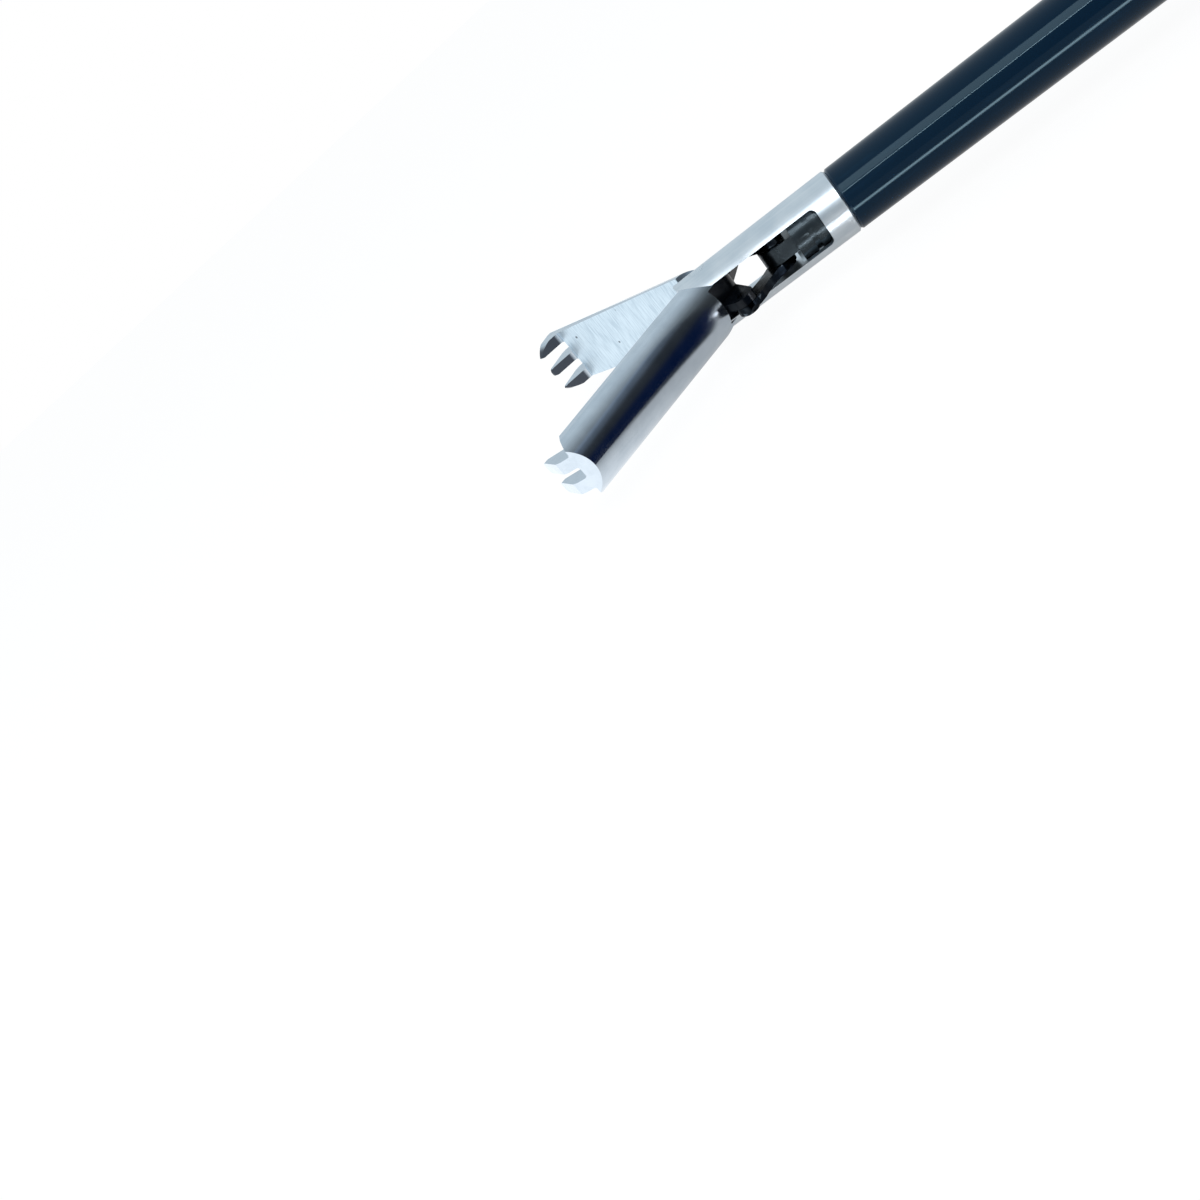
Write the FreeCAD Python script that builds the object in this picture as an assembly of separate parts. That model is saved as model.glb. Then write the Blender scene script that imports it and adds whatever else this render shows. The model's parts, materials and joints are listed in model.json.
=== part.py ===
"""Ten millimetre claw grasper, two teeth against three, with its jaws open.

X runs along the shaft towards the jaws, with zero at the rear end of the insulation.
The handle hangs towards -Y, and every hinge axis is parallel to Z. Sizes are in millimetres.
"""
import FreeCAD, Part
import math
import os

os.makedirs("parts", exist_ok=True)
V = FreeCAD.Vector

# Shaft
pivot_x = 292.0
shaft_r = 4.95
tube_r = 4.5
tube_bore_r = 4.0
rod_r = 1.4
tube_edge = 0.3
fit_gap = 0.02
run_gap = 0.06

# Housing at the working end
housing_r = 5.0
housing_length = 22.0
housing_socket = 3.0
window_half = 3.0
window_length = 18.0
window_corner_r = 0.8
bore_front = 13.0
cheek_end_r = 4.2
pivot_pin_r = 1.25

# Jaws, measured from the pivot with the jaws closed
jaw_open_deg = 40.0
jaw_r = 5.0
jaw_face_gap = 0.05
jaw_back_end = 35.2
jaw_tip_half_width = 4.75
jaw_taper_start = 12.0
nose_x = 37.7
nose_out = 0.8
nose_bevel = 0.9
nose_bevel_back = 0.25
tooth_root = 34.2
tooth_slant = 0.75
tooth_reach_two = 3.4
tooth_reach_three = 3.8
tooth_tip_thickness = 0.35
centre_tooth_half = 0.75
outer_tooth_inner = 3.05
tooth_gap = 0.2
tooth_front_gap = 0.15
tooth_corner_r = 0.4
tooth_tip_r = 0.6
hub_r = 3.4
hub_gap = 0.1
layer_gap = 0.05
neck_length = 6.0
neck_height = 3.8
bar_start = 3.5
cheek_gap = 0.3

# Linkage
tail_length = 7.16
tail_angle_deg = 21.6
tail_thickness = 1.2
tail_eye_r = 1.8
tail_root_r = 3.0
link_length = 9.72
link_thickness = 1.2
link_eye_r = 1.75
link_swing_deg = 23.608
link_waist_r = 1.35
link_gap = 0.1
tail_pin_r = 0.7
open_pivot_gap = 0.42
rod_pin_r = 1.0
rivet_head_r = 1.5
tail_head_r = 1.3
rivet_head = 0.27
tongue_half = 1.25
tongue_r = 2.6
block_gap = 0.08
block_step = 2.65
block_length = 8.6
block_thread = 5.0
block_groove = 0.35
block_groove_width = 0.8
block_groove_shares = (0.35, 0.65)
tongue_bury = 1.0

# Flush hub, port and cap
hub_length = 20.0
hub_step = 0.5
hub_body_r = 7.5
hub_nose_r = 5.6
hub_nose_length = 4.0
hub_edge = 0.6
hub_groove = 1.2
hub_groove_depth = 0.5
hub_groove_x = -16.0
port_x = -10.0
port_r = 2.6
port_bore_r = 2.1
port_seat = 5.2
port_top = 17.0
port_flange_r = 3.8
port_flange = 3.0
port_edge = 0.4
port_neck = 0.8
port_hex_r = 4.2
port_hex = 2.5
port_hex_corner = 0.35
flush_hole_r = 1.5
cap_wall = 1.1
cap_gap = 0.2
cap_skirt = 5.5
cap_top = 1.8
cap_plug = 4.0
cap_lip = 0.7
cap_lip_height = 1.2
cap_edge = 0.8

# Rotation knob, bearing sleeve and seal
knob_r = 9.5
knob_length = 23.0
knob_nose_r = 8.0
knob_nose = 6.0
knob_rear = 3.0
knob_rear_bevel = 1.2
knob_ring = 1.0
knob_ring_x = 3.0
knob_ring_depth = 0.4
knob_gap = 0.5
flute_count = 8
flute_r = 3.4
flute_depth = 1.5
sleeve_r = 5.6
sleeve_length = 24.0
groove_x = 12.0
groove_width = 2.6
groove_depth = 0.85
o_ring_r = 0.5
o_ring_x = 4.5
seal_length = 6.0
seal_x = -30.0
seal_lip = 1.0
seal_waist = 0.5

# Handle
handle_gap = 0.4
oval_end_share = 0.8
barrel_r = 9.2
barrel_length = 54.0
barrel_wall_front = 1.2
barrel_dome = (4.6, 1.53, 2.2, 5.0)
barrel_edge_r = 0.9
barrel_groove = 1.4
barrel_groove_x = 6.0
barrel_groove_depth = 0.6
handle_half = 8.0
loop_half = 6.0
hinge_back = 40.0
hinge_drop = 17.0
yoke_r = 10.5
yoke_edge_r = 1.6
slot_half = 4.7
loop_back = 14.1
loop_y = -66.0
loop_inner_long = 27.0
loop_inner_short = 12.5
loop_wall = 5.5
loop_tilt_deg = 8.0
loop_edge_r = 2.6
arm_r = 7.5
arm_top_back = 20.1
arm_top_y = -14.0
arm_foot_shift = 2.0
arm_thinning = 1.0
grip_edge_r = 1.8
spur_ahead = 1.9
spur_y = -34.0
spur_r = 3.6
spur_root_back = 8.1
spur_root_y = -42.0
spur_flare = 1.0
spur_inset = 1.5
spur_edge_r = 1.2

# Thumb lever and its hinge
lever_half = 4.0
lever_stroke_deg = 18.47
lever_hub_r = 8.0
lever_top = 4.5
lever_top_half = 5.5
lever_top_edge_r = 1.2
lever_edge_r = 1.3
lever_foot_shift = 5.0
lever_thinning = 1.0
ring_back = 74.1
ring_y = -72.0
ring_inner_long = 14.5
ring_inner_short = 12.0
ring_wall = 5.0
ring_half = 6.0
ring_edge_r = 2.4
knee_back = 56.1
knee_y = -40.0
knee_r = 5.2
ring_root_r = 4.6
bush_r = 3.2
bush_gap = 0.05
screw_r = 2.0
screw_head_r = 3.8
screw_head = 2.0
screw_slot = 0.8
nut_r = 3.7
nut_height = 2.4
screw_edge_r = 0.5
head_recess = 0.3
seat_gap = 0.1
rod_room = 1.0
washer_r = 5.2
washer = 0.6

# Drive ball
ball_r = 2.5
ball_gap = 0.08
neck_r = 1.25
slit_half = 1.7
slit_drop = 2.6
ball_drop = 3.2
cavity_gap = 0.6

# Release button and its spring
plate_thickness = 1.8
plate_half = 6.8
plate_gap = 0.2
plate_top = 8.0
plate_bottom = 7.5
plate_hole_gap = 0.15
button_travel = 0.9
button_r = 4.0
button_height = 3.0
button_edge_r = 0.8
spring_wire_r = 0.3
spring_r = 1.5
spring_turns = 4
spring_length = 5.0
spring_pocket_gap = 0.35

# Monopolar pin
hf_back = 30.1
hf_r = 2.0
hf_length = 16.0
hf_collar_r = 3.4
hf_collar = 2.2
hf_stem_r = 1.6
hf_stem = 1.6
hf_boss_r = 5.2
hf_boss_y = 11.0
hf_boss_edge_r = 0.8
hf_tip_edge = 0.8

# Places worked out from the sizes above
jaw_open = math.radians(jaw_open_deg)
tail_open = math.radians(tail_angle_deg) + jaw_open
tail_open_x = -tail_length * math.cos(tail_open)
tail_open_y = tail_length * math.sin(tail_open)
rod_pin_x = tail_open_x - math.sqrt(link_length ** 2 - tail_open_y ** 2)
link_rest_deg = math.degrees(math.asin(tail_open_y / link_length))
block_front = rod_pin_x - block_step
block_back = block_front - block_length
link_low = tail_thickness + layer_gap + link_gap
link_high = link_low + link_thickness
knob_front = -hub_length - knob_gap
knob_back = knob_front - knob_length
sleeve_back = knob_back - sleeve_length
barrel_front = knob_back - handle_gap
barrel_back = barrel_front - barrel_length
loop_x = barrel_front - loop_back
arm_top_x = barrel_front - arm_top_back
spur_x = barrel_front + spur_ahead
spur_root_x = barrel_front - spur_root_back
ring_x = barrel_front - ring_back
knee_x = barrel_front - knee_back
hf_x = barrel_front - hf_back
hinge_x = barrel_front - hinge_back
hinge_y = -hinge_drop
half_stroke = math.radians(lever_stroke_deg) / 2
ball_x = hinge_x + hinge_drop * half_stroke
plate_x = knob_back - groove_x


def box(x0, x1, y0, y1, z0, z1):
    return Part.makeBox(x1 - x0, y1 - y0, z1 - z0, V(x0, y0, z0))


def rod_x(radius, x0, x1):
    return Part.makeCylinder(radius, x1 - x0, V(x0, 0, 0), V(1, 0, 0))


def rod_y(radius, x, y0, y1):
    return Part.makeCylinder(radius, y1 - y0, V(x, y0, 0), V(0, 1, 0))


def rod_z(radius, x, y, z0, z1):
    return Part.makeCylinder(radius, z1 - z0, V(x, y, z0), V(0, 0, 1))


def prism(points, z0, z1):
    wire = Part.makePolygon([V(x, y, z0) for x, y in points + points[:1]])
    return Part.Face(wire).extrude(V(0, 0, z1 - z0))


def turned(points):
    """Solid of revolution about the shaft axis from (x, radius) points."""
    wire = Part.makePolygon([V(x, r, 0) for x, r in points + points[:1]])
    return Part.Face(wire).revolve(V(0, 0, 0), V(1, 0, 0), 360)


def ring_groove(x, width, surface_r, depth):
    """Waste of a groove around the shaft axis, from x back to x - width."""
    return rod_x(2 * surface_r, x - width, x).cut(rod_x(surface_r - depth, x - width, x))


def turned_y(points, x):
    """Solid of revolution about a line parallel to Y through x, from (y, radius) points."""
    wire = Part.makePolygon([V(x + r, y, 0) for y, r in points + points[:1]])
    return Part.Face(wire).revolve(V(x, 0, 0), V(0, 1, 0), 360)


def tapered_bar(p, r_p, q, r_q, z0, z1):
    """Plate with round ends about p and q, and straight sides that touch both rounds."""
    dx, dy = q[0] - p[0], q[1] - p[1]
    length = math.hypot(dx, dy)
    along = math.atan2(dy, dx)
    lean = math.acos((r_p - r_q) / length)
    corners = []
    for centre, radius, side in ((p, r_p, 1), (q, r_q, 1), (q, r_q, -1), (p, r_p, -1)):
        angle = along + side * lean
        corners.append((centre[0] + radius * math.cos(angle), centre[1] + radius * math.sin(angle)))
    ends = rod_z(r_p, p[0], p[1], z0, z1).fuse(rod_z(r_q, q[0], q[1], z0, z1))
    return ends.fuse(prism(corners, z0, z1))


def softened(plate, edge_r):
    """The plate, flat in Z, with rounded rims."""
    plate = plate.removeSplitter()
    rims = [e for e in plate.Edges if e.BoundBox.ZLength < fit_gap]
    return plate.makeFillet(edge_r, rims)


def oval(x, y, long_r, short_r, grow, tilt_deg, half):
    """Upright four-arc oval prism, offset outwards by grow, its long axis tilt_deg from Y."""
    end_r = oval_end_share * short_r
    end_x = long_r - end_r
    drop = (end_x ** 2 - (short_r - end_r) ** 2) / (2 * (short_r - end_r))
    meet = math.atan2(drop, end_x)
    px = end_x + (end_r + grow) * math.cos(meet)
    py = (end_r + grow) * math.sin(meet)
    far, top = long_r + grow, short_r + grow
    stops = [(px, -py), (far, 0), (px, py), (0, top), (-px, py), (-far, 0), (-px, -py), (0, -top)]
    stops = [V(u, v, -half) for u, v in stops]
    arcs = [Part.Arc(stops[i], stops[i + 1], stops[(i + 2) % 8]).toShape() for i in (0, 2, 4, 6)]
    solid = Part.Face(Part.Wire(arcs)).extrude(V(0, 0, 2 * half))
    solid.rotate(V(0, 0, 0), V(0, 0, 1), 90 + tilt_deg)
    solid.translate(V(x, y, 0))
    return solid


def rounded_ring(x, y, long_r, short_r, wall, tilt_deg, half, edge_r):
    outer = oval(x, y, long_r, short_r, wall, tilt_deg, half)
    ring = outer.cut(oval(x, y, long_r, short_r, 0, tilt_deg, half))
    rims = [e for e in ring.Edges if e.BoundBox.ZLength < fit_gap]
    return ring.makeFillet(min(edge_r, 0.45 * wall), rims)


def mirrored_z(shape):
    return shape.mirror(V(0, 0, 0), V(0, 0, 1))


def at_pivot(shape):
    shape.translate(V(pivot_x, 0, 0))
    return shape


def save(shape, name):
    solid = shape.removeSplitter()
    solid.exportStep("parts/%s.step" % name)


def end_profile(reach):
    """Side view of a jaw above and below its flat: back, slanted end, nose and tooth."""
    tip = -reach
    tip_x = tooth_root + tooth_slant * reach
    return [
        (0, jaw_r), (jaw_back_end, jaw_r), (nose_x - nose_bevel_back, nose_out + nose_bevel), (nose_x, nose_out),
        (tip_x + tooth_tip_thickness, tip), (tip_x, tip), (tooth_root, 0), (0, 0),
    ]


def tooth_space(z0, z1, gap):
    """Room that an opposing tooth needs beyond the slanted root line, with rounded inner corners."""
    out = 2 * jaw_r
    root = tooth_root - gap
    space = prism([
        (root, -out), (root, 0), (root + tooth_slant * out, out), (root + 2 * out, out),
        (root + 2 * out, -out),
    ], z0, z1)
    corners = [e for e in space.Edges
               if e.BoundBox.ZLength < fit_gap and e.BoundBox.XMax < root + tooth_slant * out + fit_gap
               and e.BoundBox.YLength > jaw_r]
    return space.makeFillet(tooth_corner_r, corners)


def tip_corner(reach, z, side):
    """Waste beside the rounded corner of a tooth's tip; side is the way out of the tooth in Z."""
    x0, x1 = tooth_root, nose_x + jaw_r
    inner = z - side * tooth_tip_r
    outer = z + side * fit_gap
    waste = box(x0, x1, -reach - 1, -reach + tooth_tip_r, min(inner, outer), max(inner, outer))
    return waste.cut(Part.makeCylinder(tooth_tip_r, x1 - x0, V(x0, -reach + tooth_tip_r, inner), V(1, 0, 0)))


def jaw_plan():
    """Plan of a jaw, seen on its flat: full width, then a slow taper to the tip."""
    far = nose_x + 1
    plan = [
        (0, -jaw_r), (jaw_taper_start, -jaw_r), (far, -jaw_tip_half_width),
        (far, jaw_tip_half_width), (jaw_taper_start, jaw_r), (0, jaw_r),
    ]
    wire = Part.makePolygon([V(x, -jaw_r, z) for x, z in plan + plan[:1]])
    return Part.Face(wire).extrude(V(0, 2 * jaw_r, 0))


def jaw_blank(reach):
    """Half-round jaw with an uncut claw across its whole width, closed pose, back towards +Y."""
    body = prism(end_profile(reach), -jaw_r, jaw_r).common(rod_x(jaw_r, 0, nose_x + 1))
    body = body.common(jaw_plan())
    body = body.cut(box(0, bar_start, -jaw_r, jaw_r, -window_half, window_half))
    body = body.cut(rod_z(hub_r + hub_gap, 0, 0, -window_half, window_half))
    for z0, z1 in ((-jaw_r, -window_half), (window_half, jaw_r)):
        body = body.cut(rod_z(cheek_end_r + cheek_gap, 0, 0, z0, z1))
    return body.cut(box(0, tooth_root, -jaw_r, jaw_face_gap, -jaw_r, jaw_r))


def hub_and_tail():
    """Hub disc, neck and tail plate, in the upper layer of the slot."""
    z0, z1 = layer_gap, window_half - hub_gap
    neck = prism([
        (0, jaw_face_gap), (neck_length, jaw_face_gap), (neck_length, neck_height),
        (bar_start, neck_height), (0, hub_r),
    ], z0, z1)
    angle = math.radians(tail_angle_deg)
    tail_end = (-tail_length * math.cos(angle), -tail_length * math.sin(angle))
    tail = tapered_bar((0, 0), tail_root_r, tail_end, tail_eye_r, z0, z0 + tail_thickness)
    tail = tail.cut(rod_z(tail_pin_r + fit_gap, tail_end[0], tail_end[1], 0, jaw_r))
    piece = rod_z(hub_r, 0, 0, z0, z1).fuse(neck).fuse(tail)
    return piece.common(rod_x(jaw_r, -2 * tail_length, nose_x))


def jaw(reach, spaces, opens_up):
    """Jaw with the given tooth spaces, turned open; opens_up sends it towards +Y."""
    body = jaw_blank(reach)
    for z0, z1 in spaces:
        body = body.cut(tooth_space(z0, z1, tooth_front_gap))
        for z, side in ((z0, 1), (z1, -1)):
            if abs(z) < jaw_tip_half_width:
                body = body.cut(tip_corner(reach, z, side))
    body = body.fuse(hub_and_tail())
    body = body.cut(rod_z(pivot_pin_r + run_gap, 0, 0, -jaw_r, jaw_r))
    if not opens_up:
        body.rotate(V(0, 0, 0), V(1, 0, 0), 180)
    body.rotate(V(0, 0, 0), V(0, 0, 1), jaw_open_deg if opens_up else -jaw_open_deg)
    return at_pivot(body)


def two_tooth_jaw():
    inner = centre_tooth_half + tooth_gap
    outer = outer_tooth_inner - tooth_gap
    edge = jaw_r + 1
    return jaw(tooth_reach_two, [(-edge, -outer), (-inner, inner), (outer, edge)], True)


def three_tooth_jaw():
    inner, outer = centre_tooth_half, outer_tooth_inner
    return jaw(tooth_reach_three, [(-outer, -inner), (inner, outer)], False)


def tip_housing():
    """Slotted sleeve with two rounded cheeks that carry the pivot pin."""
    body = turned([
        (-housing_length, 0), (0, 0), (0, housing_r), (-housing_length + tube_edge, housing_r),
        (-housing_length, housing_r - tube_edge),
    ])
    cheeks = rod_x(housing_r, 0, cheek_end_r).common(rod_z(cheek_end_r, 0, 0, -housing_r, housing_r))
    body = body.fuse(cheeks)
    body = body.cut(rod_x(tube_bore_r, -housing_length, -bore_front))
    body = body.cut(rod_x(tube_r + fit_gap, -housing_length, -housing_length + housing_socket))
    window = box(-window_length, housing_r + 1, -housing_r, housing_r, -window_half, window_half)
    corners = [e for e in window.Edges
               if e.BoundBox.XMax < -window_length + 1 and e.BoundBox.YLength > housing_r]
    body = body.cut(window.makeFillet(window_corner_r, corners))
    body = body.cut(rod_z(pivot_pin_r + fit_gap, 0, 0, -housing_r, housing_r))
    return at_pivot(body)


def pivot_pin():
    pin = rod_z(pivot_pin_r, 0, 0, -housing_r, housing_r)
    return at_pivot(pin.common(rod_x(housing_r, -housing_r, housing_r)))


def link():
    """Flat link from the rod pin to a tail pin, lying along X from the origin."""
    bar = tapered_bar((0, 0), link_eye_r, (link_length, 0), link_eye_r, link_low, link_high)
    for side in (1, -1):
        mid = link_length / 2
        scoop_r = link_length
        offset = side * (scoop_r + link_waist_r)
        bar = bar.cut(rod_z(scoop_r, mid, offset, link_low, link_high))
    bar = bar.cut(rod_z(rod_pin_r + run_gap, 0, 0, link_low, link_high))
    return bar.cut(rod_z(tail_pin_r + open_pivot_gap, link_length, 0, link_low, link_high))


def place_link(side):
    """Link for the jaw whose tail lies towards side (+1 or -1) in Y, ground to the shaft when closed."""
    piece = link()
    if side > 0:
        piece = mirrored_z(piece)
    piece.rotate(V(0, 0, 0), V(0, 0, 1), side * (link_rest_deg - link_swing_deg))
    piece = piece.common(rod_x(shaft_r, -link_length, 2 * link_length))
    piece.rotate(V(0, 0, 0), V(0, 0, 1), side * link_swing_deg)
    piece.translate(V(rod_pin_x, 0, 0))
    return at_pivot(piece)


def tail_pin(side):
    """Headed rivet in a jaw's tail; side as for its link."""
    head_low = link_high + layer_gap
    shank = rod_z(tail_pin_r, tail_open_x, side * tail_open_y, layer_gap, head_low)
    head = rod_z(tail_head_r, tail_open_x, side * tail_open_y, head_low, head_low + rivet_head)
    pin = shank.fuse(head)
    return at_pivot(mirrored_z(pin) if side > 0 else pin)


def rod_pin():
    head_low = link_high + layer_gap
    pin = rod_z(rod_pin_r, rod_pin_x, 0, -head_low, head_low)
    for z in (head_low, -head_low - rivet_head):
        pin = pin.fuse(rod_z(rivet_head_r, rod_pin_x, 0, z, z + rivet_head))
    return at_pivot(pin)


def rod_end_block():
    """Guide block in the bore, with a flat tongue for the links and a blind hole for the rod."""
    radius = tube_bore_r - block_gap
    block = rod_x(radius, block_back, block_front)
    for share in block_groove_shares:
        x = block_back + share * block_length
        ring = rod_x(radius + 1, x, x + block_groove_width)
        block = block.cut(ring.cut(rod_x(radius - block_groove, x, x + block_groove_width)))
    tongue = tapered_bar((block_front - tongue_bury, 0), tongue_r, (rod_pin_x, 0), tongue_r,
                         -tongue_half, tongue_half)
    block = block.fuse(tongue)
    block = block.cut(rod_z(rod_pin_r + fit_gap, rod_pin_x, 0, -housing_r, housing_r))
    return at_pivot(block.cut(rod_x(rod_r + fit_gap, block_back, block_back + block_thread)))


def push_rod():
    front = pivot_x + block_back + block_thread
    back = ball_x
    body = rod_x(rod_r, seal_x - 2 * seal_length, front)
    return body.fuse(rod_x(neck_r, back, seal_x - 2 * seal_length))


def drive_ball():
    ball = Part.makeSphere(ball_r, V(ball_x, 0, 0))
    return ball.cut(rod_x(neck_r + fit_gap, ball_x, ball_x + ball_r + 1))


def shaft_tube():
    tube = rod_x(tube_r, sleeve_back, pivot_x - housing_length + housing_socket)
    tube = tube.cut(rod_x(tube_bore_r, sleeve_back, pivot_x))
    return tube.cut(rod_y(flush_hole_r, port_x, 0, housing_r))


def shaft_insulation():
    end = pivot_x - housing_length
    return turned([
        (0, tube_r), (end, tube_r), (end, shaft_r - tube_edge), (end - tube_edge, shaft_r), (0, shaft_r),
    ])


def rod_seal():
    """Soft seal with a lip at each end, inside the tube and around the rod."""
    bore = rod_r + run_gap
    outer = tube_bore_r - fit_gap
    x0, x1 = seal_x, seal_x + seal_length
    return turned([
        (x0, bore), (x1, bore), (x1, outer), (x1 - seal_lip, outer),
        (x1 - seal_lip - seal_waist, outer - seal_waist), (x0 + seal_lip + seal_waist, outer - seal_waist),
        (x0 + seal_lip, outer), (x0, outer),
    ])


def flush_hub():
    body = turned([
        (-hub_length, 0), (-hub_step, 0), (-hub_step, hub_nose_r), (-hub_nose_length, hub_body_r),
        (-hub_length + hub_edge, hub_body_r), (-hub_length, hub_body_r - hub_edge),
    ])
    body = body.cut(ring_groove(hub_groove_x, hub_groove, hub_body_r, hub_groove_depth))
    body = body.cut(rod_x(tube_r + fit_gap, -hub_length, -hub_step))
    return body.cut(rod_y(port_r + fit_gap, port_x, 0, hub_body_r + 1))


def flush_port():
    """Side tube with a hexagon to hold it and a flange for the cap."""
    body = turned_y([
        (port_seat, 0), (port_top, 0), (port_top, port_flange_r - port_edge), (port_top - port_edge, port_flange_r),
        (port_top - port_flange, port_flange_r), (port_top - port_flange - port_neck, port_r),
        (port_seat, port_r),
    ], port_x)
    corners = []
    for i in range(6):
        angle = math.radians(60 * i)
        corners.append(V(port_x + port_hex_r * math.cos(angle), hub_body_r, port_hex_r * math.sin(angle)))
    hexagon = Part.Face(Part.makePolygon(corners + corners[:1])).extrude(V(0, port_hex, 0))
    hexagon = hexagon.common(rod_y(port_hex_r - port_hex_corner, port_x, hub_body_r, hub_body_r + port_hex))
    return body.fuse(hexagon).cut(rod_y(port_bore_r, port_x, port_seat, port_top))


def port_cap():
    inner = port_flange_r + cap_gap
    outer = inner + cap_wall
    ceiling = port_top + fit_gap
    top = ceiling + cap_top
    skirt = top - cap_skirt
    body = turned_y([
        (skirt, inner), (ceiling, inner), (ceiling, port_bore_r - cap_gap),
        (ceiling - cap_plug, port_bore_r - 2 * cap_gap), (ceiling - cap_plug, 0), (top, 0),
        (top, outer - cap_edge), (top - cap_edge, outer), (skirt + cap_lip_height, outer),
        (skirt + cap_lip_height, outer + cap_lip), (skirt, outer + cap_lip),
    ], port_x)
    return body


def rotation_knob():
    """Fluted wheel, turned with a tapered nose."""
    body = turned([
        (knob_back, 0), (knob_front, 0), (knob_front, knob_nose_r), (knob_front - knob_nose, knob_r),
        (knob_back + knob_rear, knob_r), (knob_back, knob_r - knob_rear_bevel),
    ])
    for i in range(flute_count):
        angle = math.radians(360 / flute_count * (i + 0.5))
        reach = knob_r - flute_depth + flute_r
        flute = Part.makeCylinder(flute_r, knob_length + 2,
                                  V(knob_back + knob_rear, reach * math.cos(angle), reach * math.sin(angle)),
                                  V(1, 0, 0))
        body = body.cut(flute)
    body = body.cut(ring_groove(knob_front - knob_ring_x, knob_ring, knob_nose_r, knob_ring_depth))
    return body.cut(rod_x(tube_r + fit_gap, knob_back, knob_front))


def bearing_sleeve():
    """Steel journal that turns in the barrel, with an O-ring groove and a latch groove."""
    body = rod_x(sleeve_r, sleeve_back, knob_back)
    latch = rod_x(sleeve_r + 1, plate_x - groove_width / 2, plate_x + groove_width / 2)
    latch = latch.cut(rod_x(sleeve_r - groove_depth, plate_x - groove_width / 2, plate_x + groove_width / 2))
    body = body.cut(latch)
    seat = knob_back - o_ring_x
    groove = rod_x(sleeve_r + 1, seat - o_ring_r - fit_gap, seat + o_ring_r + fit_gap)
    floor_r = sleeve_r - 2 * o_ring_r - fit_gap
    body = body.cut(groove.cut(rod_x(floor_r, seat - o_ring_r - fit_gap, seat + o_ring_r + fit_gap)))
    return body.cut(rod_x(tube_r + fit_gap, sleeve_back, knob_back))


def sleeve_o_ring():
    return Part.makeTorus(sleeve_r - o_ring_r, o_ring_r, V(knob_back - o_ring_x, 0, 0), V(1, 0, 0))


def handle_body():
    """Barrel, yoke for the lever, arm, finger loop and finger rest, moulded in one."""
    dome_far, dome_near, dome_drop, dome_end = barrel_dome
    barrel = turned([
        (barrel_back, 0), (barrel_front, 0), (barrel_front, barrel_r - barrel_wall_front),
        (barrel_front - barrel_wall_front, barrel_r), (barrel_back + dome_far, barrel_r),
        (barrel_back + dome_near, barrel_r - dome_drop), (barrel_back, barrel_r - dome_end),
    ])
    steps = [e for e in barrel.Edges if e.BoundBox.XLength < fit_gap and e.BoundBox.YLength > barrel_r]
    barrel = barrel.makeFillet(barrel_edge_r, steps)
    yoke = tapered_bar((hinge_x, hinge_y), yoke_r, (arm_top_x, arm_top_y), yoke_r, -handle_half, handle_half)
    yoke_top = prism([
        (hinge_x - yoke_r, hinge_y), (hinge_x - yoke_r, 0), (arm_top_x + yoke_r, 0),
        (arm_top_x + yoke_r, arm_top_y),
    ], -handle_half, handle_half)
    yoke = yoke.fuse(yoke_top).removeSplitter()
    rims = [e for e in yoke.Edges if e.BoundBox.ZLength < fit_gap and e.BoundBox.YMin < -fit_gap]
    yoke = yoke.makeFillet(yoke_edge_r, rims)
    loop = rounded_ring(loop_x, loop_y, loop_inner_long, loop_inner_short, loop_wall,
                        loop_tilt_deg, loop_half, loop_edge_r)
    top_of_loop = loop_y + loop_inner_long + loop_wall / 2
    arm = tapered_bar((arm_top_x, arm_top_y), arm_r, (loop_x + arm_foot_shift, top_of_loop),
                      arm_r - arm_thinning, -loop_half, loop_half)
    arm = softened(arm, grip_edge_r)
    spur = tapered_bar((spur_root_x, spur_root_y), spur_r + spur_flare, (spur_x, spur_y), spur_r - spur_flare,
                       -loop_half + spur_inset, loop_half - spur_inset)
    spur = softened(spur, spur_edge_r)
    inside = oval(loop_x, loop_y, loop_inner_long, loop_inner_short, 0, loop_tilt_deg, loop_half)
    grip = arm.fuse(spur).cut(inside).fuse(loop)
    boss = rod_y(hf_boss_r, hf_x, 0, hf_boss_y)
    boss = boss.makeFillet(hf_boss_edge_r, [e for e in boss.Edges if e.BoundBox.YMin > hf_boss_y - fit_gap])
    body = barrel.fuse(yoke).fuse(grip).fuse(boss)
    body = body.cut(ring_groove(barrel_front - barrel_groove_x, barrel_groove, barrel_r, barrel_groove_depth))
    body = body.cut(rod_x(sleeve_r + run_gap, sleeve_back - 1, barrel_front))
    return cut_handle_rooms(body)


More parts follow.
